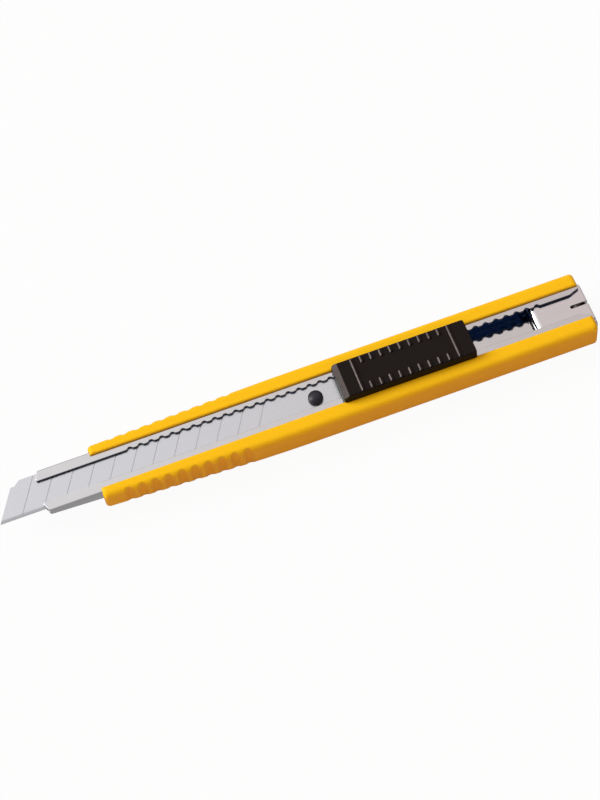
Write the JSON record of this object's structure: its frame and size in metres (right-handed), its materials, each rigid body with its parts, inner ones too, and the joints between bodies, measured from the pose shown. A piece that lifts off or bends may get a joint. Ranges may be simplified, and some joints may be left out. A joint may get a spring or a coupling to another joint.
{
  "type": "utility knife",
  "caption": "Slim snap-off utility knife: moulded handle around a steel channel, scored blade on a self-locking slider, steel end clip with a snapping slot.",
  "frame": {"origin": "middle of the handle's length on its flat back, in the knife's plane of symmetry", "axes": "+X along the knife from the blade to the end clip, -Y towards the cutting edge, +Z out of the back towards the slide button"},
  "size_m": [0.1411, 0.0162, 0.01],
  "materials": {
    "yellow_plastic": "moulded, satin gloss",
    "channel_steel": "cold-rolled stainless sheet, bright",
    "blade_steel": "ground and polished",
    "black_plastic": "moulded, satin",
    "carrier_plastic": "moulded",
    "spring_steel": "rolled spring strip",
    "clip_steel": "cold-rolled stainless sheet, bright"
  },
  "bodies": {
    "holder": {"handle_shell": "yellow_plastic", "blade_channel": "channel_steel"},
    "slider": {"slide_button": "black_plastic", "blade_carrier": "carrier_plastic", "lock_spring": "spring_steel", "snap_blade": "blade_steel"},
    "end_clip": {"end_clip": "clip_steel"}
  },
  "joints": [
    {"name": "slider_travel", "type": "slide", "parent": "holder", "child": "slider", "axis": [1, 0, 0], "range_m": [-0.0525, 0.0125], "deforming": ["lock_spring"]},
    {"name": "end_clip_pull", "type": "slide", "parent": "holder", "child": "end_clip", "axis": [1, 0, 0], "range_m": [0, 0.045]}
  ]
}
